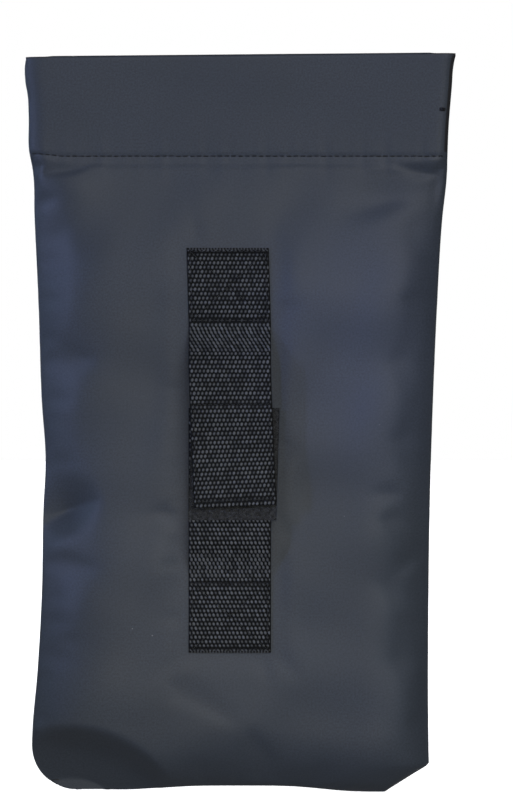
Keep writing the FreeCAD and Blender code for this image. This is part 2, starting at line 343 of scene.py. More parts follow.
def make_world():
    """Soft fill, stronger from below and from the front, with plain white behind the bag."""
    world = bpy.data.worlds.new("studio")
    bpy.context.scene.world = world
    world.use_nodes = True
    world.node_tree.nodes.clear()
    n = Nodes(world.node_tree)
    way = n.add("TexCoord").outputs["Generated"]
    level = n.fade(n.axis(way, "Z"), -0.5, 0.7, FILL_BELOW, FILL_ABOVE, interpolation_type="SMOOTHSTEP")
    front = n.fade(n.axis(way, "Y"), -1.0, 0.4, FILL_FRONT, FILL_BEHIND)
    fill = n.add("Background", {"Color": FILL_COLOUR, "Strength": n.math("MULTIPLY", level, front)})
    backdrop = n.add("Background", {"Color": (1, 1, 1, 1)})
    camera_ray = n.add("LightPath").outputs["Is Camera Ray"]
    chosen = n.add("MixShader", {0: camera_ray, 1: fill.outputs[0], 2: backdrop.outputs[0]})
    n.add("OutputWorld", {"Surface": chosen.outputs[0]})
    bpy.context.scene.view_settings.view_transform = "Standard"


# Materials


class Material(Nodes):
    """A material whose nodes end at its own principled shader."""

    def __init__(self, name):
        self.material = bpy.data.materials.new(name)
        self.material.use_nodes = True
        super().__init__(self.material.node_tree)
        self.shader = self.tree.nodes["Principled BSDF"]

    def blend(self, share, a, b):
        """The output of a mix of two colours."""
        node = self.add("Mix", {"Factor": share}, data_type="RGBA")
        for socket, value in ((6, a), (7, b)):
            self.fill(node, {socket: value if isinstance(value, bpy.types.NodeSocket) else (*value, 1)})
        return node.outputs[2]

    def ramp(self, share, stops):
        """The output of a colour ramp with (place, grey) stops."""
        node = self.add("ValToRGB", {"Fac": share})
        elements = node.color_ramp.elements
        while len(elements) < len(stops):
            elements.new(0.5)
        for element, (place, grey) in zip(elements, stops):
            element.position = place
            element.color = (grey, grey, grey, 1)
        return node.outputs["Color"]

    def noise(self, place, scale, detail=2.0, roughness=0.5):
        """The output of a noise texture."""
        inputs = {"Vector": place, "Scale": scale, "Detail": detail, "Roughness": roughness}
        return self.add("TexNoise", inputs).outputs["Fac"]

    def bump(self, height, distance, strength=1.0, below=None):
        """The output of a bump node whose distance is in millimetres."""
        inputs = {"Height": height, "Distance": distance * MM, "Strength": strength}
        if below is not None:
            inputs["Normal"] = below
        return self.add("Bump", inputs).outputs["Normal"]

    def place(self):
        """The UV map's output: metres across and along the piece."""
        return self.add("UVMap", uv_map="UVMap").outputs["UV"]

    def finish(self, **inputs):
        """Sets the shader's inputs and gives the material."""
        self.fill(self.shader, {key.replace("_", " "): value for key, value in inputs.items()})
        return self.material


def weave_height(m, place, pitch):
    """The height of a plain weave with threads a pitch apart, in millimetres."""
    turns = 2 * math.pi / (pitch * MM)
    warp, weft = [m.math("SINE", m.math("MULTIPLY", m.axis(place, name), turns)) for name in "XY"]
    return m.math("MULTIPLY", warp, weft)


def coated_fabric(name, dark, light, specular):
    """Coated nylon: a fine grain over a plain weave, cloudy colour, and a few specks of lint."""
    m = Material(name)
    place = m.place()
    cloud = m.ramp(m.noise(place, 16.0, 4.0, 0.6), ((0.35, 0.0), (0.68, 1.0)))
    base = m.blend(cloud, dark, light)
    grain = m.noise(place, 1150.0, 3.0, 0.65)
    mottle = m.ramp(grain, ((0.36, 0.0), (0.64, 1.0)))
    base = m.blend(m.math("MULTIPLY", mottle, 0.6), base, tuple(0.5 * c for c in dark))
    lint = m.add("TexVoronoi", {"Vector": place, "Scale": 95.0, "Randomness": 1.0})
    sparse = m.ramp(m.noise(place, 31.0, 0.0), ((0.66, 0.0), (0.7, 1.0)))
    speck = m.math("LESS_THAN", lint.outputs["Distance"], 0.035)
    base = m.blend(m.math("MULTIPLY", m.math("MULTIPLY", speck, sparse), 0.55), base, (0.20, 0.21, 0.23))
    normal = m.bump(weave_height(m, place, 0.62), 0.012, 0.8)
    normal = m.bump(grain, 0.035, 0.7, normal)
    normal = m.bump(m.noise(place, 140.0, 2.0), 0.12, 0.5, normal)
    m.finish(Base_Color=base, Roughness=m.linear(cloud, 0.08, 0.47), Normal=normal)
    return m.finish(Specular_IOR_Level=specular, Sheen_Weight=0.06)


def webbing_material():
    """Near-black nylon webbing with fine filaments: painted shade between the floats and a painted highlight
    on top of them, read from their relief.
    """
    m = Material("webbing_nylon")
    place = m.place()
    height = m.add("Attribute", attribute_name="relief").outputs["Fac"]
    # painted shade in the gaps and painted highlight on the float tops, from the relief attribute
    shade = m.ramp(height, ((0.0, 0.0), (0.22, 0.06), (0.6, 0.8), (1.0, 1.0)))
    patch = m.noise(place, 260.0, 3.0, 0.7)
    shade = m.math("MULTIPLY", shade, m.linear(patch, 1.3, 0.35))
    base = m.blend(shade, (0.0004, 0.0005, 0.0007), (0.112, 0.118, 0.126))
    filament = m.math("SINE", m.math("MULTIPLY", m.axis(place, "X"), 2 * math.pi / (0.16 * MM)))
    normal = m.bump(filament, 0.02, 0.5)
    normal = m.bump(patch, 0.08, 0.6, normal)
    return m.finish(Base_Color=base, Roughness=0.62, Normal=normal, Specular_IOR_Level=0.12)


def thread_material():
    """Black twisted thread."""
    m = Material("sewing_thread")
    place = m.place()
    twist = m.linear(m.axis(place, "Y"), 9.0, m.axis(place, "X"))
    ply = m.math("SINE", m.math("MULTIPLY", twist, 4 * math.pi))
    base = m.blend(m.linear(ply, 0.5, 0.5), (0.004, 0.0042, 0.005), (0.020, 0.021, 0.024))
    normal = m.bump(ply, 0.05, 0.8)
    return m.finish(Base_Color=base, Roughness=0.5, Normal=normal, Specular_IOR_Level=0.4)


def pile_material(name, dark, light, roughness):
    """Loops or hooks whose shade differs from one to the next."""
    m = Material(name)
    shade = m.add("Attribute", attribute_name="shade").outputs["Fac"]
    patch = m.ramp(m.noise(m.place(), 620.0, 2.0), ((0.38, 0.12), (0.66, 1.0)))
    base = m.blend(m.math("MULTIPLY", shade, patch), dark, light)
    normal = m.bump(patch, 0.03, 0.6)
    return m.finish(Base_Color=base, Roughness=roughness, Normal=normal, Specular_IOR_Level=0.35)


def steel_material(name, base, streaks):
    """Dull spring steel with streaks along it."""
    m = Material(name)
    place = m.add("TexCoord").outputs["Object"]
    stretched = m.add("Mapping", {"Vector": place, "Scale": streaks}).outputs["Vector"]
    streak = m.noise(stretched, 900.0, 3.0, 0.65)
    patch = m.noise(place, 70.0, 3.0, 0.6)
    colour = m.blend(patch, tuple(0.7 * c for c in base), base)
    normal = m.bump(streak, 0.01, 0.6)
    return m.finish(Base_Color=colour, Roughness=m.linear(streak, 0.25, 0.25), Normal=normal, Metallic=1.0)


def floor_material():
    """A matt pale floor with a very faint mottling."""
    m = Material("pale_floor")
    place = m.add("TexCoord").outputs["Object"]
    base = m.blend(m.noise(place, 3.0, 3.0), (0.90, 0.90, 0.90), (0.94, 0.94, 0.94))
    m.finish(Base_Color=base, Roughness=0.9, Specular_IOR_Level=0.1)
    return m.finish(Emission_Color=base, Emission_Strength=0.95)


# The bag's cloth

SHEET_THICKNESS = 0.5
SEAM_DISTANCE = 0.4  # from the seam's plane to the middle of each sheet, at the sides and the bottom
SEAM_TOP_Z = 131.0
ALLOWANCE = (4.5, 2.4, 0.7)  # how far in from the seam the cloth's turned-in edge reaches
ALLOWANCE_DISTANCE = SHEET_THICKNESS / 2 + 0.02
HEM_DISTANCE = SEAM_Y - HEM_LOW[1] - SHEET_THICKNESS / 2
HEM_INNER_DISTANCE = SEAM_Y - HEM_HIGH[1] + SHEET_THICKNESS / 2
FOLD_RADIUS = (HEM_DISTANCE - HEM_INNER_DISTANCE) / 2
FOLD_CENTRE_Z = HEM_HIGH[2] - SHEET_THICKNESS / 2 - FOLD_RADIUS
HEM_FOOT_Z = HEM_LOW[2]
INNER_PLY_GAP = 0.9  # from the outer ply to the inner one, where the stitches hold them together
HEM_END_DISTANCE = 3.0  # where the casing's open ends stand
SIDE_ROUNDING = (42.0, 34.0)  # how far in from the left and right seams the body is still rising
BOTTOM_ROUNDING = 30.0
HEM_ROUNDING = (9.0, 5.5)  # the same at the hem's left and right ends
TAPER_LOW_Z, TAPER_HIGH_Z = 70.0, 139.0  # the bag's depth draws in between these
HEM_NEAR_Z = 100.0

# The outline's edges: height and distance to the right, from the mouth down
LEFT_EDGE = [
    (184, -94.2), (181, -94.8), (172, -94.7), (166, -93.7), (156, -93.2), (137, -92.8), (131, -91.6),
    (108, -90.6), (66, -88.7), (24, -87.3), (-4, -85.5), (-25, -86.4), (-67, -87.3), (-101, -89.2),
    (-129, -91.6), (-136, -91.9),
]
RIGHT_EDGE = [
    (185, 105.1), (181, 104.0), (177, 103.3), (170, 102.8), (152, 101.3), (137, 100.7), (130, 100.6),
    (108, 98.4), (66, 95.9), (24, 94.1), (-25, 92.6), (-67, 92.0), (-115, 91.8), (-145, 92.1),
]
CORNER_CENTRE = (-69.7, -135.6)
CORNER_RADIUS = 22.2
CORNER_POWER = 2.2  # a little squarer than a circle's 2
CHAMFER_TOP = (92.1, -145.0)
CHAMFER_BOTTOM_X = 71.7
BOTTOM_Z = CORNER_CENTRE[1] - CORNER_RADIUS
BOTTOM_LIFT = 2.8  # the middle of the bottom hangs this much higher than its corners
LIFT_CENTRE_X, LIFT_HALF_WIDTH, LIFT_FADE = 4, 42, 60
TOP_TILT = 0.009  # how steeply the mouth climbs to the right
TILT_CENTRE_X, TILT_LOW_Z, TILT_HEIGHT = 5, 150, 34
STITCH_RISE = 1.2  # how far the hem's stitches climb at their left end
STITCH_RISE_WIDTH = 9
STITCH_PINCH_WIDTH = 2.2
# how far in from the casing's cut right end the painted shade reaches
SHADED_END_WIDTH = 1.5
SHADED_CREST_SHARE = 0.5  # of the fold's radius, where the painted shade on its crest begins


def edge_line(points, z):
    """A smooth line through an edge's points, read at heights z."""
    heights, places = np.array(points[::-1]).T
    slope = np.gradient(places, heights)
    i = np.clip(np.searchsorted(heights, z) - 1, 0, len(heights) - 2)
    span = heights[i + 1] - heights[i]
    t = np.clip((z - heights[i]) / span, 0, 1)
    return (
        places[i] * (1 + 2 * t) * (1 - t) ** 2
        + slope[i] * span * t * (1 - t) ** 2
        + places[i + 1] * t * t * (3 - 2 * t)
        - slope[i + 1] * span * t * t * (1 - t)
    )


def edges_at(z):
    """The bag's left and right edges at heights z."""
    z = np.asarray(z, float)
    drop = np.clip(CORNER_CENTRE[1] - z, 0, CORNER_RADIUS)
    rounded = CORNER_CENTRE[0] - (CORNER_RADIUS**CORNER_POWER - drop**CORNER_POWER) ** (1 / CORNER_POWER)
    left = np.where(z < CORNER_CENTRE[1], rounded, edge_line(LEFT_EDGE, z))
    share = np.clip((CHAMFER_TOP[1] - z) / (CHAMFER_TOP[1] - BOTTOM_Z), 0, 1)
    cut_off = mix(CHAMFER_TOP[0], CHAMFER_BOTTOM_X, share)
    return left, np.where(z < CHAMFER_TOP[1], cut_off, edge_line(RIGHT_EDGE, z))


def bottom_lift(x, z):
    """How much higher the cloth hangs near the middle of the bottom."""
    across = np.exp(-(((x - LIFT_CENTRE_X) / LIFT_HALF_WIDTH) ** 4))
    return BOTTOM_LIFT * across * (1 - smooth((z - BOTTOM_Z) / LIFT_FADE))


def stitch_rise(x):
    """How much higher the hem's stitches run towards their left end."""
    return STITCH_RISE * smooth((-75 - x) / 16)


def rise(t):
    """The swell of filled cloth from a seam, 0 there and 1 at a share t of 1."""
    t = np.clip(t, 0, 1)
    return (1 - (1 - t) ** 2.3) ** 0.62


def drawn_in(z):
    """0 where the bag has its full depth, and 1 where it has drawn in to the hem's."""
    return smooth((z - TAPER_LOW_Z) / (TAPER_HIGH_Z - TAPER_LOW_Z))


def from_line(x, z, start, end):
    """How far along a line each place is, as a share, and its offsets in x and z from the line."""
    start, end = np.array(start, float), np.array(end, float)
    along = end - start
    t = np.clip(((x - start[0]) * along[0] + (z - start[1]) * along[1]) / (along @ along), 0, 1)
    return t, x - start[0] - t * along[0], z - start[1] - t * along[1]


def fold(x, z, height, start, end, above, below, taper, power=2.0):
    """A fold near the line from start to end, wider on one side, that narrows and fades by the end.

    A positive height stands out and a negative one sinks in. A low power makes the fold sharp.
    """
    t, gap_x, gap_z = from_line(x, z, start, end)
    turn = gap_z * (end[0] - start[0]) - gap_x * (end[1] - start[1])
    width = np.where(turn > 0, above, below) * (1 - taper * t)
    closeness = np.exp(-((np.hypot(gap_x, gap_z) / width) ** power))
    return height * closeness * (1 - smooth((t - 0.45) / 0.55))


# Each fold: its height, its two ends, its widths above and below, and how much it narrows
HEM_END_FOLD = (-3.0, (104, 127), (44, 108), 8, 13, 0.2)
FOLDS = {
    STRAP_SIDE: [
        (0.7, (104, 106), (80, 96), 8, 10, 0.3),
        (1.2, (-90, -43), (-66, -38), 6, 9, 0.5),
        (-0.7, (-22, -112), (8, -128), 8, 5, 0.3),
        (-0.8, (96, -40), (70, -62), 5, 9, 0.5),
    ],
    PLAIN_SIDE: [
        (-1.8, (94, 12), (66, 24), 4, 10, 0.5),
        (-1.6, (-93, -70), (-58, -92), 9, 4, 0.4),
    ],
}
PINCH = (0.98, (-92, -34), (-58, -21), 20, 11, 0.7, 1.3)  # its height is a share of the cloth's distance


def creases(x, z, side):
    """The folds that the cloth has taken, outwards from its swelled shape."""
    height = sum(fold(x, z, *settings) for settings in FOLDS[side])
    if side == STRAP_SIDE:
        height = height + fold(x, z, *HEM_END_FOLD) * (1 - smooth((z - 128) / 8))
    return height


WAVES = ((95, 0.55), (74, 0.45), (58, 0.35), (41, 0.22), (33, 0.16), (25, 0.1))  # length and height
SIDE_PUCKERS, HEM_PUCKERS = (15, 0.2, 9, 3), (9, 0.28, 6, 5)  # spacing, height, reach and seed


def undulation(x, z, side):
    """Slow waves over the cloth."""
    draw = np.random.default_rng(11 + side)
    total = np.zeros(np.broadcast(x, z).shape)
    for length, height in WAVES:
        turn, phase = draw.uniform(0, math.pi), draw.uniform(0, 2 * math.pi)
        total += height * np.sin((x * math.cos(turn) + z * math.sin(turn)) * 2 * math.pi / length + phase)
    return total


def puckers(along, inward, spacing, height, reach, seed):
    """Short ripples square to a seam: along is the place on the seam, and inward the distance from it."""
    draw = np.random.default_rng(seed)
    ripple = np.zeros(np.broadcast(along, inward).shape)
    for factor in (1.0, 0.62, 1.55):
        ripple += np.sin(along * 2 * math.pi / (spacing * factor) + draw.uniform(0, 2 * math.pi)) / 3
    return height * ripple * np.exp(-inward / reach) * smooth(inward / 1.5)


def strap_clearance(x, z):
    """0 under the sewn webbing, where the cloth is held flat, and 1 away from it."""
    beside = smooth((np.abs(x) - UPPER_ANCHOR_HIGH[0] - 2) / 16)
    beyond = np.maximum(
        smooth((z - UPPER_ANCHOR_HIGH[2] - 1) / 14), smooth((LOWER_ANCHOR_LOW[2] - 1 - z) / 14)
    )
    return np.maximum(beside, beyond)


def swelled_distance(x, z, side):
    """From the seam's plane to the middle of a side's outer cloth, as it is sewn and filled with air."""
    left, right = edges_at(z)
    from_left, from_right = x - left, right - x
    towards_hem = smooth((z - HEM_NEAR_Z) / (TAPER_HIGH_Z - HEM_NEAR_Z))
    swell_left = rise(from_left / mix(SIDE_ROUNDING[0], HEM_ROUNDING[0], towards_hem))
    swell_right = rise(from_right / mix(SIDE_ROUNDING[1], HEM_ROUNDING[1], towards_hem))
    swell = swell_left * swell_right * rise((z - BOTTOM_Z) / BOTTOM_ROUNDING)
    edge = seam_distance(z)
    body = FULL_DEPTH[side] - SHEET_THICKNESS / 2
    full = mix(body, HEM_DISTANCE, drawn_in(z))
    shape = edge + (full - edge) * swell
    on_body = 1 - smooth((z - 120) / 16)
    relief = undulation(x, z, side) * mix(0.3, 1.0, on_body)
    relief += puckers(z, np.minimum(from_left, from_right), *SIDE_PUCKERS) * on_body
    relief += puckers(x, np.abs(z - HEM_STITCH_Z), *HEM_PUCKERS) * smooth(from_seam(x, z) / 8)
    groove = 0.3 * np.exp(-(((z - HEM_STITCH_Z) / 1.1) ** 2)) * smooth(from_seam(x, z) / 2)
    return np.maximum(shape + relief * freedom(x, z) - groove, 0.8 * edge)


def seam_distance(z):
    """The cloth's distance from that plane at the sides: closed along the seam, open at the casing's ends."""
    return mix(SEAM_DISTANCE, HEM_END_DISTANCE, smooth((z - SEAM_TOP_Z) / 8))


def from_seam(x, z):
    """How far a place is from the nearest side or the bottom."""
    left, right = edges_at(z)
    return np.minimum(np.minimum(x - left, right - x), z - BOTTOM_Z)


def freedom(x, z):
    """0 where seams and sewn webbing hold the cloth, and 1 away from them."""
    return smooth(from_seam(x, z) / 5) * strap_clearance(x, z)


CORNER_FOLD = (-74.0, -180.0)  # the centre of the fold's arc
CORNER_FOLD_RADIUS = 54.0
CORNER_FOLD_WIDTH = 8.5
CORNER_DROP = 0.95
CORNER_CURL = 10.0  # how far back the corner's tip turns, seam and all
CURL_REACH, CURL_END, CURL_POWER = 22, 1.2, 1.4


def past_corner_fold(x, z):
    """How far a place is past the lower left corner's fold, towards the corner's tip."""
    return CORNER_FOLD_RADIUS - np.hypot(x - CORNER_FOLD[0], z - CORNER_FOLD[1])


def seam_y(x, z):
    """The seam's plane, which turns back with the lower left corner."""
    return SEAM_Y + CORNER_CURL * np.clip(past_corner_fold(x, z) / CURL_REACH, 0, CURL_END) ** CURL_POWER


def folded_distance(distance, x, z, side):
    """Adds the folds to a side's distance from the seam's plane, and turns the lower left corner down."""
    distance = distance + creases(x, z, side) * freedom(x, z)
    if side == STRAP_SIDE:
        turned_down = 1 - np.exp(-(np.clip(past_corner_fold(x, z) / CORNER_FOLD_WIDTH, 0, 9) ** 1.6))
        distance = distance * (1 - CORNER_DROP * turned_down)
        distance = distance * (1 - fold(x, z, *PINCH))
    else:
        distance = distance - (seam_y(x, z) - SEAM_Y)
    return np.maximum(distance, 0.8 * seam_distance(z))


def cloth_rows():
    """Each row as (height, turn): turn is 0 on the outer face, up to pi over the fold, and pi inside."""
    corner = CORNER_CENTRE[1] - CORNER_RADIUS * np.cos(np.linspace(0, math.pi / 2, 24)[:-1])
    outer = [
        corner,
        np.linspace(CORNER_CENTRE[1], 126, 180)[:-1],
        np.linspace(126, 144, 26)[:-1],
        np.linspace(144, FOLD_CENTRE_Z, 26),
    ]
    rows = [(z, 0.0) for z in np.concatenate(outer)]
    rows += [(FOLD_CENTRE_Z, turn) for turn in np.linspace(0, math.pi, 10)[1:]]
    inner = [np.linspace(FOLD_CENTRE_Z, 143, 18)[1:], np.linspace(143, HEM_FOOT_Z, 12)[1:]]
    return rows + [(z, math.pi) for z in np.concatenate(inner)]


EDGE_STRIP = 12  # within this of the sides, the columns are closer together

SETTLE_SCALE = 10.0  # the simulation runs on a larger bag, where the solver is steadier
SETTLE_FRAMES = 26
SETTLE_TOP_Z = 133.0
SETTLE_LIMIT = {STRAP_SIDE: 0.75, PLAIN_SIDE: 1.8}
SETTLE_EVERY = 2  # rows and columns
SETTLE_CLOTH = {
    "quality": 7,
    "mass": 0.35,
    "tension_stiffness": 18,
    "compression_stiffness": 18,
    "shear_stiffness": 8,
    "bending_stiffness": 4.0,
    "air_damping": 3,
    "shrink_min": -0.012,
    "vertex_group_mass": "held",
    "use_pressure": True,
    "uniform_pressure_force": 1.5,
}


def spread(values, at, count, axis):
    """Values known at some places along an axis, spread in straight lines over all of its places."""
    return np.apply_along_axis(lambda line: np.interp(np.arange(count), at, line), axis, values)


def settle(points, side):
    """How far a little spare cloth under air pressure moves the sheet, found by a cloth simulation.

    The seams, the hem's stitches and the sewn webbing hold it. The sheet is simulated on every other row
    and column, and its moves are then spread over the whole grid.
    """
    count = points.shape[1]
    top = int(np.argmax(points[:, count // 2, 2] > SETTLE_TOP_Z))
    rows = np.unique(np.r_[np.arange(0, top, SETTLE_EVERY), top])
    columns = np.unique(np.r_[np.arange(0, count, SETTLE_EVERY), count - 1])
    coarse = points[np.ix_(rows, columns)]
    faces = grid_faces(len(rows), len(columns), flip=side == PLAIN_SIDE)
    sheet = add_mesh("settling", coarse.reshape(-1, 3) * SETTLE_SCALE, faces, [])
    held = 1 - freedom(coarse[..., 0], coarse[..., 2])
    held[[0, -1]] = 1
    held[:, [0, -1]] = 1
    group = sheet.vertex_groups.new(name="held")
    for index, weight in enumerate(held.ravel()):
        group.add([index], float(weight**3), "REPLACE")
    modifier = sheet.modifiers.new("settling", "CLOTH")
    for key, value in SETTLE_CLOTH.items():
        setattr(modifier.settings, key, value)
    modifier.settings.effector_weights.gravity = 0
    modifier.collision_settings.use_collision = False
    modifier.point_cache.frame_end = SETTLE_FRAMES
    scene = bpy.context.scene
    for number in range(1, SETTLE_FRAMES + 1):
        scene.frame_set(number)
    shown = sheet.evaluated_get(bpy.context.evaluated_depsgraph_get())
    settled = np.array([v.co for v in shown.data.vertices]) / MM / SETTLE_SCALE
    bpy.data.objects.remove(sheet)
    scene.frame_set(1)
    moves = settled.reshape(coarse.shape) - coarse
    limit = SETTLE_LIMIT[side]
    moves = limit * np.tanh(moves / limit)
    everywhere = np.zeros(points.shape)
    everywhere[: top + 1] = spread(spread(moves, rows, top + 1, 0), columns, count, 1)
    return soften(everywhere)


def soften(field):
    """A grid of values averaged a little with their neighbours."""
    for _ in range(2):
        for axis in (0, 1):
            near = np.concatenate([field.take([0], axis), field, field.take([-1], axis)], axis)
            count = field.shape[axis]
            before, after = near.take(range(count), axis), near.take(range(2, count + 2), axis)
            field = 0.5 * field + 0.25 * (before + after)
    return field


def cloth_columns(row_z):
    """The places across each row, and whether each is near a side, where the casing's end is open."""
    left, right = edges_at(row_z)
    offsets = EDGE_STRIP * (np.arange(15) / 14) ** 2
    middle = np.linspace(0, 1, 112)[1:-1]
    start, end = left + offsets[-1], right - offsets[-1]
    x = np.hstack([left + offsets, start + (end - start) * middle, right - offsets[::-1]])
    set_back = np.zeros(x.shape, bool)
    set_back[:, : len(offsets) - 1] = True
    set_back[:, -len(offsets) + 1 :] = True
    return x, set_back


def cloth_grid(side):
    """The middle surface of one side: up the outer face, over the fold and down inside the hem."""
    row_z, turn = np.array(cloth_rows()).T[..., None]
    x, set_back = cloth_columns(row_z)
    z = np.broadcast_to(row_z, x.shape)
    swelled = swelled_distance(x, z, side)
    moved = settle(np.stack([x, side * swelled, z], -1), side)
    x, z = x + moved[..., 0], z + moved[..., 2]
    distance = folded_distance(swelled + side * moved[..., 1], x, z, side)
    pinch = np.exp(-(((z - HEM_STITCH_Z) / STITCH_PINCH_WIDTH) ** 2)) + (z < HEM_STITCH_Z)
    inner = mix(HEM_INNER_DISTANCE, distance - INNER_PLY_GAP, np.clip(pinch, 0, 1))
    folded = mix(inner, distance, (1 + np.cos(turn)) / 2)
    distance = np.where(set_back, distance, folded)
    rolled = FOLD_RADIUS * np.where(set_back, np.clip(turn * 2 / math.pi, 0, 1), np.sin(turn))
    tilt = TOP_TILT * (x - TILT_CENTRE_X) * smooth((z - TILT_LOW_Z) / TILT_HEIGHT)
    at_stitches = np.exp(-(((z - HEM_STITCH_Z) / STITCH_RISE_WIDTH) ** 2))
    height = z + rolled + bottom_lift(x, z) + tilt + stitch_rise(x) * at_stitches
    points = np.stack([x, seam_y(x, z) + side * distance, height], -1)
    hidden = set_back & (turn > math.pi / 2 + 0.01)
    over_seam = np.broadcast_to((row_z > SEAM_TOP_Z) | (turn > 0), (len(row_z), len(ALLOWANCE)))
    points = np.hstack([turned_in(points, 0, side), points, turned_in(points, -1, side)])
    return points, np.hstack([over_seam, hidden, over_seam])


def turned_in(points, edge, side):
    """The cloth's edge, the first or last column, turned in and laid against the other sheet's."""
    inward = 1 if edge == 0 else -1
    strip = np.repeat(points[:, [edge]], len(ALLOWANCE), axis=1)
    strip[..., 0] += inward * np.array(ALLOWANCE[::inward])
    strip[..., 1] = seam_y(strip[..., 0], strip[..., 2]) + side * ALLOWANCE_DISTANCE
    return strip


MOUTH_BEND_Z = (98, 136)  # where the cloth begins to follow the mouth, and from where it follows fully


def bow(piece, side):
    """Lets a piece follow the mouth, most in the middle and not at all at the frame's pins."""
    body = SIDE_NAMES[side] + "_mouth"
    start, end = [(0, SEAM_Y * MM, z * MM) for z in MOUTH_BEND_Z]
    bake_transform(piece, "root", body, start=start, end=end)
    x = np.array([v.co.x for v in piece.data.vertices]) / MM
    share = np.clip((x - PIN_X[0]) / (PIN_X[1] - PIN_X[0]), 0, 1)
    attribute = piece.data.attributes["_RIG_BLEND"]
    weight = np.zeros(len(x), np.float32)
    attribute.data.foreach_get("value", weight)
    attribute.data.foreach_set("value", (weight * np.sin(math.pi * share)).astype(np.float32))


def paint_hem_edge_shade(cloth):
    """Paints shade on the cut right end of the casing and on the crest of its fold, in the black of the
    cloth's lining.
    """
    for face in cloth.data.polygons:
        x, _, z = face.center / MM
        cut_end = z > HEM_STITCH_Z + 2 and x > edges_at(z)[1] - SHADED_END_WIDTH
        crest = z > FOLD_CENTRE_Z + SHADED_CREST_SHARE * FOLD_RADIUS + TOP_TILT * (x - TILT_CENTRE_X)
        # painted shade: these outer faces take the lining's black
        if cut_end or crest:
            face.material_index = 1


def make_cloth(side, outside, inside):
    """One side of the bag, panel and hem in one sheet."""
    points, hidden = cloth_grid(side)
    rows, columns = points.shape[:2]
    faces = grid_faces(rows, columns, flip=side == PLAIN_SIDE)
    faces = faces[~hidden.ravel()[faces].any(axis=1)]
    used, renumbered = np.unique(faces, return_inverse=True)
    along = distance_along(points[:, columns // 2])[:, None]
    uv = point_list(points[..., 0], along)[used] * MM
    points, faces = points.reshape(-1, 3)[used], renumbered.reshape(-1, 4)
    cloth = add_mesh(SIDE_NAMES[side] + "_cloth", points, faces, [outside, inside], uv)
    # the strap side's hem edges get painted shade
    if side == STRAP_SIDE:
        paint_hem_edge_shade(cloth)
    thicken(cloth, SHEET_THICKNESS).material_offset = 1
    bow(cloth, side)
    declare(cloth, "coated_fabric", SIDE_NAMES[side] + "_panel", SIDE_NAMES[side] + "_hem")
    return cloth


# Sewing

STITCH_PITCH = 3.2
STITCH_LENGTH = 2.6
THREAD_RADIUS = 0.27
BOX_PITCH, BOX_LENGTH, BOX_THREAD_RADIUS = 2.6, 1.6, 0.13
THREAD_GAP = 0.12  # from the webbing's face to the stitches on it
SEAM_THREAD_RADIUS = 0.14
SEAM_INSET = 1.2  # from the bag's edge to the seam's stitches
TACK_PITCH, TACK_LENGTH, TACK_RADIUS = 3.4, 3.0, 0.34
TACK_LEVELS = (11.0, 11.5, 12.0)  # above the foot of the spring strip


def sew(parts, line, out, pitch=STITCH_PITCH, length=STITCH_LENGTH, radius=THREAD_RADIUS):
    """Stitches along a line of points that lies on a surface; out is the surface's outward direction."""
    step = 0.2
    line = evenly(np.asarray(line, float), step)
    out = np.asarray(out, float)
    each = max(2, round(pitch / step))
    kept = max(2, round(length / step))
    draw = np.random.default_rng(len(line))
    for start in range(0, len(line) - kept, each):
        span = line[start : start + kept + 1]
        stitch = evenly(span, np.linalg.norm(span[-1] - span[0]) / 6)
        t = np.linspace(-1, 1, len(stitch))
        sunk = 0.55 * radius * (1 - 2.6 * t**4)
        stitch = stitch + sunk[:, None] * out + draw.normal(0, 0.03, 3)
        add_tube(parts, stitch, radius * (1 - 0.35 * t**6), out)


def surface_line(side, x_from, x_to, z):
    """Points on the outside of a side's cloth along a level line."""
    x = np.arange(x_from, x_to, 0.5)
    level = np.full(len(x), z)
    distance = folded_distance(swelled_distance(x, level, side), x, level, side) + SHEET_THICKNESS / 2
    return np.stack([x, SEAM_Y + side * distance, z + stitch_rise(x)], -1)


def make_hem_stitching(side, thread):
    """The row of stitches that closes the hem, seen on both faces of the cloth."""
    parts = Parts()
    left, right = edges_at(HEM_STITCH_Z)
    out = (0, side, 0)
    sew(parts, surface_line(side, left + 0.8, right - 0.8, HEM_STITCH_Z), out)
    if side == STRAP_SIDE:
        for level in TACK_LEVELS:
            line = surface_line(side, PIN_X[1] - 2.0, PIN_X[1] + 2.2, STRIP_LOW[2] + level)
            sew(parts, line, out, TACK_PITCH, TACK_LENGTH, TACK_RADIUS)
    stitching = parts.build(SIDE_NAMES[side] + "_hem_stitches", thread)
    bow(stitching, side)
    declare(stitching, "thread", SIDE_NAMES[side] + "_hem_stitching")


def make_seam_stitching(thread):
    """The stitches between the two sheets, down both sides and along the bottom."""
    turn_z = CORNER_CENTRE[1]
    heights = np.concatenate([np.linspace(SEAM_TOP_Z, turn_z, 160), np.linspace(turn_z, BOTTOM_Z, 30)])
    left, right = edges_at(heights)
    down = np.stack([left + SEAM_INSET, heights], -1)
    up = np.stack([right - SEAM_INSET, heights], -1)[::-1]
    x, z = evenly(np.vstack([down, up]), 0.5).T
    inward = SEAM_INSET * smooth((-150 - z) / 8)
    path = np.stack([x, seam_y(x, z), z + bottom_lift(x, z) + inward], -1)
    parts = Parts()
    sew(parts, path, (0, 1, 0), radius=SEAM_THREAD_RADIUS)
    declare(parts.build("seam_stitches", thread), "thread", "seam_stitching", body="root")


# Belt loop

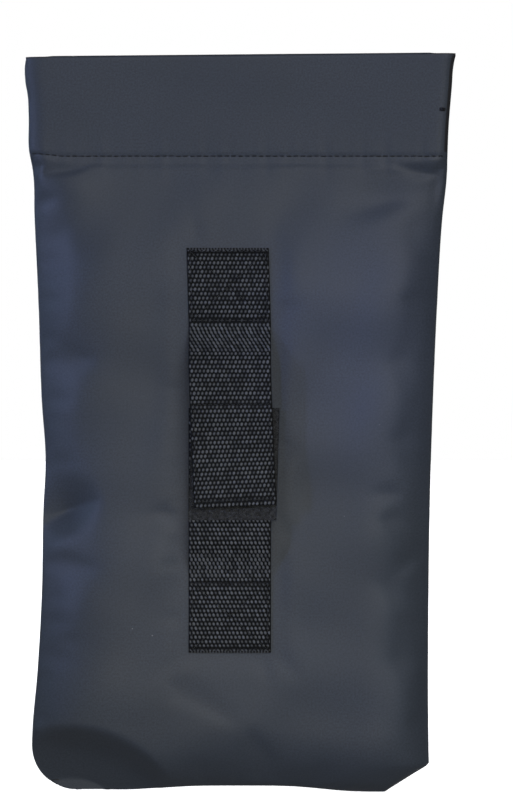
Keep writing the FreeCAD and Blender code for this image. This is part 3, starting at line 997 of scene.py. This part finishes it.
WEBBING_HALF = UPPER_ANCHOR_HIGH[0]
WEBBING_THICKNESS = UPPER_ANCHOR_HIGH[1] - UPPER_ANCHOR_LOW[1]
HALF_THICKNESS = WEBBING_THICKNESS / 2
FLOAT_PITCH, ROW_PITCH, FLOAT_HEIGHT = 1.84, 2.04, 0.42
WEBBING_STEP = 0.41
WEAVE_REPEAT = (211, 97)  # rows, and floats in a row, before their differences repeat
KNUCKLE_ROW, KNUCKLE_PITCH = 1.3, 1.4
STITCH_INSET = 1.7
HINGE_Z = UPPER_ANCHOR_LOW[2]
ANCHOR_Y = (UPPER_ANCHOR_LOW[1] + UPPER_ANCHOR_HIGH[1]) / 2
FLAP_Y = FLAP_LOW[1] + HALF_THICKNESS
TAB_Y = TAB_LOW[1] + HALF_THICKNESS
FLAP_TURN = 0.042  # the flap hangs a little turned, with its left corner lower
FLAP_SWAY = 2.6  # how far to the right its end hangs
HANG_TOP_Z = 40
STRAP_BEND = (0.5, -9)  # where the bend at a hinge begins and ends, from the hinge towards the sewn end
UPPER_BOX_HEIGHT = UPPER_ANCHOR_HIGH[2] - UPPER_ANCHOR_LOW[2]
SEWN_LEAN = 1.0  # how far to the left the sewn strap's top end stands


def hang(points):
    """Turns the hanging part of the flap, and what is sewn to it, a little in its own plane."""
    x, y, z = np.moveaxis(np.array(points, float), -1, 0)
    share = np.clip((HANG_TOP_Z - z) / (HANG_TOP_Z - FLAP_LOW[2]), 0, 1)
    lean = SEWN_LEAN * np.clip((z - HINGE_Z) / UPPER_BOX_HEIGHT, 0, 1)
    return np.stack([x + (FLAP_SWAY * share**1.2 - lean), y, z + FLAP_TURN * x * smooth(share)], -1)


def box_lines(low_z, high_z, crossed):
    """The (x, z) ends of the lines in a box of stitches."""
    x = WEBBING_HALF - STITCH_INSET
    low, high = low_z + STITCH_INSET, high_z - STITCH_INSET
    corners = [(-x, low), (x, low), (x, high), (-x, high)]
    lines = list(zip(corners, corners[1:] + corners[:1]))
    if crossed:
        lines += [((-x, low), (x, high)), ((-x, high), (x, low))]
    return lines


def nearness(x, z, lines, reach):
    """1 on any of the lines and 0 well away from them."""
    closest = np.full(np.broadcast(x, z).shape, 1e9)
    for line in lines:
        closest = np.minimum(closest, np.hypot(*from_line(x, z, *line)[1:]))
    return np.exp(-((closest / reach) ** 2))


def weave_relief(x, along, joined, slant, seed):
    """The height, from 0 to 1, of a plain weave's floats, each row half a float from the last.

    Where joined is 1 the floats reach into the next rows, and slant turns them into diagonal lines.
    """
    draw = np.random.default_rng(seed)
    row_count, float_count = WEAVE_REPEAT
    size = draw.uniform(0.5, 1.0, WEAVE_REPEAT)
    row_shift = draw.normal(0, 0.05, row_count)
    row = np.floor(along / ROW_PITCH)
    number = row.astype(int) % row_count
    v = along / ROW_PITCH - row - 0.5
    column = x / FLOAT_PITCH + 0.5 * (row % 2) + mix(0.2, slant, joined) * v + row_shift[number]
    nearest = np.round(column)
    u = column - nearest
    reach = np.clip(1 - (u / 0.4) ** 2 - (v / mix(0.47, 0.62, joined)) ** 2, 0, 1)
    return reach**0.7 * size[number, nearest.astype(int) % float_count]


def turned_end(relief, x, along):
    """The relief where the sewn end is turned under: a row of small knuckles, then a row pulled down, which
    the colour also shows as painted shade.
    """
    knuckles = 0.1 + 0.4 * np.sin(math.pi * x / KNUCKLE_PITCH) ** 2
    relief = mix(relief, knuckles, smooth((KNUCKLE_ROW - along) / 0.4))
    return relief * (1 - 0.7 * np.exp(-(((along - 1.8 * KNUCKLE_ROW) / (0.6 * KNUCKLE_ROW)) ** 2)))


FRONT_COUNT, BACK_COUNT = 105, 63  # points across the webbing's two faces
# share of relief on the webbing's rounded edges, which also gives them painted shade
EDGE_RELIEF = 0.4
BAR_REACH, STITCH_REACH, STITCH_PULL = 1.25, 0.6, 0.4
PRESSED_RELIEF = (0.06, 0.38)  # least relief where the webbing is pressed, and the share that it keeps; the lower relief there is painted shade along the bars and stitches
PRESSED_DEPTH = 0.15
MEAN_RELIEF = 0.75
END_ROUNDING = 0.8
JOINED_LENGTH = 15  # of the webbing past its bar whose floats join


def webbing_ring():
    """Once round the webbing: the places across it, how far each faces out and its share of relief."""
    half = WEBBING_HALF - HALF_THICKNESS
    turn = np.linspace(0, math.pi, 6)[1:-1]
    front_x, back_x = np.linspace(-half, half, FRONT_COUNT), np.linspace(half, -half, BACK_COUNT)
    bulge = HALF_THICKNESS * np.sin(turn)
    x = np.concatenate([front_x, half + bulge, back_x, -half - bulge])
    front, back, edge = np.ones(FRONT_COUNT), np.ones(BACK_COUNT), np.full(len(turn), EDGE_RELIEF)
    out = np.concatenate([front, np.cos(turn), -back, -np.cos(turn)])
    return x, out, np.concatenate([front, edge, back, edge])


def strap_relief(x, along, z, towards, share):
    """The floats' height over a whole strap, joined past its bar and turned under at its sewn end."""
    past_bar = HINGE_Z + towards * z
    joined = smooth(past_bar / 2) * smooth((JOINED_LENGTH - past_bar) / 4)
    slant, seed = (-0.4, 5) if towards < 0 else (0.1, 8)
    return turned_end(weave_relief(x, along, joined, slant, seed), x, along) * share


def make_strap(name, path, towards, bars, sewn, material, turn_flap):
    """A closed ribbon of webbing along a path of (y, z) points; towards is the way the path runs in z."""
    line = curve_through(path, WEBBING_STEP)
    along = (np.arange(len(line)) * np.linalg.norm(line[1] - line[0]))[:, None]
    heading = unit(np.gradient(line, axis=0))
    out = towards * np.stack([-heading[:, 1], heading[:, 0]], -1)
    x, ring_out, share = webbing_ring()
    relief = strap_relief(x, along, line[:, 1:], towards, share)
    pulled = STITCH_PULL * nearness(x, line[:, 1:], sewn, STITCH_REACH)
    pressed = np.maximum(nearness(x, line[:, 1:], bars, BAR_REACH), pulled)
    # painted shade: pressed bars and stitch lines take a lower relief, so a darker colour
    relief = mix(relief, PRESSED_RELIEF[0] + PRESSED_RELIEF[1] * relief, pressed)
    lift = FLOAT_HEIGHT * (relief - MEAN_RELIEF) - PRESSED_DEPTH * pressed
    depth = ring_out * HALF_THICKNESS + np.where(ring_out < 0, -1, 1) * lift
    ends = np.minimum(along, along[-1] - along)
    depth = depth * np.sqrt(np.clip(ends / END_ROUNDING, 0.12, 1))
    y, z = line.T[..., None] + out.T[..., None] * depth
    points = point_list(x, y, z)
    if turn_flap:
        points = hang(points)
    count = len(x)
    faces = grid_faces(len(line), count, closed=True, flip=towards > 0).tolist()
    caps = [list(range(count)), [(len(line) - 1) * count + i for i in range(count)]]
    faces += [caps[0][::-1], caps[1]] if towards > 0 else [caps[0], caps[1][::-1]]
    uv = point_list(x, along) * MM
    # the relief attribute is the floats' height and also drives the webbing's painted shade and highlight
    return add_mesh(name, points, faces, [material], uv, {"relief": relief.ravel()})


RISE_LENGTH = 19.0  # how far along its height a strap takes to lift off the bag


def rising(sewn_y, clear_y):
    """The (y, height past the box of stitches) points of a strap that lifts gently off the bag."""
    share = np.linspace(0, 1, 9)[1:]
    return [(mix(sewn_y, clear_y, s), RISE_LENGTH * t) for t, s in zip(share, smooth(share))]


def slack(z):
    """How far the cloth under the upper box has drawn in towards the hem."""
    full = FULL_DEPTH[STRAP_SIDE] - SHEET_THICKNESS / 2
    return (full - HEM_DISTANCE) * drawn_in(z)


def strap_paths():
    """The (y, z) middle lines of the two straps: sewn down, lifting off the bag, then standing clear."""
    levels = np.linspace(UPPER_ANCHOR_HIGH[2], HINGE_Z, 8)
    upper = list(zip(ANCHOR_Y + slack(levels), levels))
    upper += [(y, HINGE_Z - past) for y, past in rising(ANCHOR_Y, FLAP_Y)]
    upper += [(FLAP_Y, z) for z in (30, 15, 0, FLAP_LOW[2])]
    lower = [(ANCHOR_Y, z) for z in (LOWER_ANCHOR_LOW[2], -HINGE_Z - 16, -HINGE_Z - 3, -HINGE_Z)]
    lower += [(y, past - HINGE_Z) for y, past in rising(ANCHOR_Y, TAB_Y)]
    lower += [(TAB_Y, z) for z in (-30, -15, 0, TAB_HIGH[2])]
    return upper, lower


def make_box_stitching(name, node, body, lines, y, out, thread, turn_flap=False):
    """A box of stitches, on a face that may draw in towards the hem, that rides with its strap."""
    parts = Parts()
    for (start_x, start_z), (end_x, end_z) in lines:
        line = evenly(np.array([(start_x, y, start_z), (end_x, y, end_z)]), 0.5)
        line[:, 1] += slack(line[:, 2])
        line = hang(line) if turn_flap else line
        sew(parts, line, (0, out, 0), BOX_PITCH, BOX_LENGTH, BOX_THREAD_RADIUS)
    declare(parts.build(name, thread), "thread", node, body=body)


def make_belt_loop(webbing, thread):
    """Both straps and the stitches that hold them."""
    upper_path, lower_path = strap_paths()
    upper_box = box_lines(HINGE_Z, UPPER_ANCHOR_HIGH[2], True)
    lower_box = box_lines(LOWER_ANCHOR_LOW[2], -HINGE_Z, True)
    hook_box = box_lines(FLAP_LOW[2] + 1, HOOK_HIGH[2], False)
    loop_box = box_lines(LOOP_LOW[2], TAB_HIGH[2], False)
    upper_bars = [upper_box[0], hook_box[0], hook_box[2]]
    lower_bars = [lower_box[2], loop_box[0]]
    upper = make_strap("upper_strap", upper_path, -1, upper_bars, upper_box + hook_box, webbing, True)
    lower = make_strap("lower_strap", lower_path, 1, lower_bars, lower_box + loop_box, webbing, False)
    for strap, way, name, free in ((upper, 1, "upper", "flap"), (lower, -1, "lower", "tab")):
        start, end = [(0, 0, way * (HINGE_Z + offset) * MM) for offset in STRAP_BEND]
        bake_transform(strap, "root", "belt_" + free, start=start, end=end)
        declare(strap, "webbing", name + "_strap_anchor", name + "_strap_" + free)
    front = UPPER_ANCHOR_LOW[1] - THREAD_GAP
    flap_front = FLAP_Y - HALF_THICKNESS - THREAD_GAP
    tab_back = TAB_Y + HALF_THICKNESS + THREAD_GAP
    for name, body, lines, y, out, turn_flap in (
        ("upper_box", "root", upper_box, front, -1, True),
        ("lower_box", "root", lower_box, front, -1, False),
        ("hook_tape", "belt_flap", hook_box, flap_front, -1, True),
        ("loop_tape", "belt_tab", loop_box, tab_back, 1, False),
    ):
        make_box_stitching(name + "_stitches", name + "_stitching", body, lines, y, out, thread, turn_flap)


# Hook and loop tapes

LOOP_WIDEN = 0.9  # the brushed edges stand out beyond the woven tape
TAPE_BASE = 0.45
TAPE_SHADE = 0.2
LOOP_COUNT = 2600
LOOP_SHIFT = 0.75  # how far the tape's ends stand to the right and left of square
HOOK_SPACING = (1.45, 1.5)
HOOK_MARGIN = 1.2


def add_tape_base(parts, low, high, y_back, bumps, seed, shift):
    """A thin woven tape with soft edges and a slightly uneven face."""
    columns, rows = 56, 70
    u = np.linspace(-1, 1, columns)[None]
    v = np.linspace(-1, 1, rows)[:, None]
    centre = (low + high) / 2
    half = (high - low) / 2
    wobble = np.random.default_rng(seed).normal(0, 1, (rows, columns)) * bumps
    x = centre[0] + half[0] * u + shift * v
    z = centre[2] + half[2] * v
    soft = np.minimum((np.abs(u) ** 14 + np.abs(v) ** 22) * TAPE_BASE * 0.35, 0.2)
    layers = [y_back + soft, y_back - TAPE_BASE + soft + wobble]
    points = np.vstack([point_list(x, y, z) for y in layers])
    count = rows * columns
    front = grid_faces(rows, columns) + count
    back = grid_faces(rows, columns, flip=True)
    numbers = np.arange(count).reshape(rows, columns)
    rim = np.concatenate([numbers[0], numbers[1:, -1], numbers[-1, -2::-1], numbers[-2:0:-1, 0]])
    after = np.roll(rim, -1)
    sides = np.stack([rim + count, after + count, after, rim], -1)
    faces = np.vstack([front, back, sides]).tolist()
    parts.add(points, faces, points[:, [0, 2]] * MM, TAPE_SHADE)


def make_loop_tape(material):
    """A brushed loop tape on the tab: fine loops that lean every way."""
    parts = Parts()
    widen = np.array([LOOP_WIDEN, 0, 0])
    low, high = LOOP_LOW - widen, LOOP_HIGH + widen
    front = high[1] - TAPE_BASE
    add_tape_base(parts, low, high, high[1], 0.05, 21, LOOP_SHIFT)
    draw = np.random.default_rng(33)
    centre_z = (low[2] + high[2]) / 2
    t = np.linspace(0, math.pi, 7)
    for _ in range(LOOP_COUNT):
        z = draw.uniform(low[2] + 0.3, high[2] - 0.3)
        x = draw.uniform(low[0] + 0.2, high[0] - 0.2) + LOOP_SHIFT * (z - centre_z) / (high[2] - centre_z)
        turn, lean = draw.uniform(0, 2 * math.pi), draw.uniform(-0.5, 0.5)
        wide, tall = draw.uniform(0.35, 0.85), draw.uniform(0.35, front - low[1] - 0.1)
        run = -wide * np.cos(t)
        climb = tall * np.sin(t) ** 0.8
        line_x = x + run * math.cos(turn) - lean * climb * math.sin(turn)
        line_z = z + run * math.sin(turn) + lean * climb * math.cos(turn)
        line = np.stack([line_x, front + 0.05 - climb, line_z], -1)
        radii = np.full(len(t), draw.uniform(0.05, 0.085))
        add_tube(parts, line, radii, (0.3, 1, 0.2), 4, draw.uniform(0.25, 1))
    declare(parts.build("brushed_loop_tape", material), "loop_tape", "loop_tape", body="belt_tab")


def make_hook_tape(material):
    """A hook tape on the flap's back: rows of small moulded hooks that face the loops."""
    parts = Parts()
    low, high = HOOK_LOW, HOOK_HIGH
    back = low[1] + TAPE_BASE
    add_tape_base(parts, low, high, back, 0.02, 22, 0.0)
    draw = np.random.default_rng(44)
    columns = round((high[0] - low[0] - 2 * HOOK_MARGIN) / HOOK_SPACING[0])
    rows = round((high[2] - low[2] - 2 * HOOK_MARGIN) / HOOK_SPACING[1])
    t = np.linspace(0, 1, 7)
    climb = (high[1] - back - 0.12) * np.minimum(1, 1.45 * np.sin(t * 2.5))
    for row in range(rows + 1):
        for column in range(columns + 1):
            x = mix(low[0] + HOOK_MARGIN, high[0] - HOOK_MARGIN, column / columns) + draw.normal(0, 0.06)
            z = mix(low[2] + HOOK_MARGIN, high[2] - HOOK_MARGIN, row / rows) + draw.normal(0, 0.06)
            way = 1 if (row + column) % 2 else -1
            reach = 0.32 * np.sin(t * 4.2) * way * (t > 0.25)
            line = np.stack([np.full(len(t), x), back - 0.05 + climb, z + reach], -1)
            add_tube(parts, line, np.linspace(0.14, 0.07, len(t)), (1, 0.1, 0), 5, draw.uniform(0.4, 1))
    parts.points = [hang(points) for points in parts.points]
    declare(parts.build("moulded_hook_tape", material), "hook_tape", "hook_tape", body="belt_flap")


# Spring frame

STRIP_DISTANCE = 4.5
STRIP_THICKNESS = 0.45
CURL_RADIUS = 1.62
BEND_LENGTH = 6.0
SLIT_HALF = 0.15  # half of the slit between two tongues
STRIP_RIM = 0.3


def strip_path():
    """The middle line of a strip in plan, as (x, distance from the seam's plane), from curl to curl."""
    halves = []
    for pin, inward in ((PIN_X[0], 1), (PIN_X[1], -1)):
        turn = np.radians(np.linspace(-205, 62, 22))
        curl_x = pin + inward * CURL_RADIUS * np.cos(turn)
        curl_y = CURL_RADIUS * np.sin(turn)
        ramp_t = np.linspace(0, 1, 9)[1:]
        ramp_x = mix(curl_x[-1], pin + inward * BEND_LENGTH, ramp_t)
        ramp_y = mix(curl_y[-1], STRIP_DISTANCE, smooth(ramp_t))
        halves.append(np.stack([np.r_[curl_x, ramp_x], np.r_[curl_y, ramp_y]], -1))
    straight_x = np.linspace(halves[0][-1, 0], halves[1][-1, 0], 90)[1:-1]
    straight = np.stack([straight_x, np.full(len(straight_x), STRIP_DISTANCE)], -1)
    return np.vstack([halves[0], straight, halves[1][::-1]])


def make_spring_strip(side, material):
    """A flat spring whose tongues are rolled round the pins: two on the strap side, one on the other."""
    path = strip_path()
    height = STRIP_HIGH[2] - STRIP_LOW[2]
    slits = [height * k / 3 + gap for k in (1, 2) for gap in (-SLIT_HALF, SLIT_HALF)]
    z = STRIP_LOW[2] + np.array([0, STRIP_RIM, *slits, height - STRIP_RIM, height])
    y = SEAM_Y + side * path[:, 1]
    points = point_list(path[:, 0], y, z[:, None])
    faces = grid_faces(len(z), len(path), flip=side == PLAIN_SIDE)
    middle_x = points[faces][:, :, 0].mean(axis=1)
    band = faces[:, 0] // len(path)
    tongue = np.minimum(np.abs(middle_x - PIN_X[0]), np.abs(middle_x - PIN_X[1])) < BEND_LENGTH - 1
    tongue |= (middle_x < PIN_X[0]) | (middle_x > PIN_X[1])
    wanted = (band <= 1) | (band >= 5) if side == STRAP_SIDE else band == 3
    used, renumbered = np.unique(faces[~tongue | wanted], return_inverse=True)
    strip = add_mesh(SIDE_NAMES[side] + "_spring", points[used], renumbered.reshape(-1, 4), [material])
    thicken(strip, STRIP_THICKNESS)
    bow(strip, side)
    declare(strip, "spring_steel", SIDE_NAMES[side] + "_spring_strip")


def make_floor(material):
    """A wide pale floor that the bag stands on."""
    turn = np.linspace(0, 2 * math.pi, 97)[:-1]
    rings = np.array(FLOOR_RINGS) / MM
    lowest = BOTTOM_Z - FLOOR_GAP
    points = [[0, 0, lowest]]
    for ring in rings:
        points += [[ring * math.cos(t), ring * math.sin(t), lowest] for t in turn]
    count = len(turn)
    faces = [[0, 1 + i, 1 + (i + 1) % count] for i in range(count)]
    faces += (grid_faces(len(rings), count, closed=True, flip=True) + 1).tolist()
    floor = add_mesh("floor", points, faces, [material])
    floor.visible_diffuse = False
    floor.visible_glossy = False


# Assembly


def make_bag():
    """Every piece, its material and what it moves with."""
    outside = coated_fabric("coated_fabric", (0.0325, 0.0405, 0.0545), (0.040, 0.049, 0.065), 0.36)
    # the lining's black is also used as painted shade on the hem's top and cut right end
    inside = coated_fabric("lining_and_painted_edge_shade", (0.010, 0.010, 0.012), (0.014, 0.014, 0.016), 0.4)
    webbing = webbing_material()
    thread = thread_material()
    strip_steel = steel_material("spring_steel", (0.42, 0.43, 0.45), (0.05, 1, 1))
    pin_steel = steel_material("pin_steel", (0.58, 0.59, 0.61), (1, 1, 0.05))
    for side in (STRAP_SIDE, PLAIN_SIDE):
        cloth = make_cloth(side, outside, inside)
        make_hem_stitching(side, thread)
        make_spring_strip(side, strip_steel)
    make_seam_stitching(thread)
    make_belt_loop(webbing, thread)
    make_loop_tape(pile_material("loop_pile", (0.005, 0.005, 0.0055), (0.150, 0.156, 0.164), 0.85))
    make_hook_tape(pile_material("hook_plastic", (0.008, 0.008, 0.009), (0.040, 0.041, 0.045), 0.4))
    for pin in FRAME_PINS:
        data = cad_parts[pin].data
        data.materials.clear()
        data.materials.append(pin_steel)


make_camera()
make_lights()
make_world()
make_bag()
make_floor(floor_material())
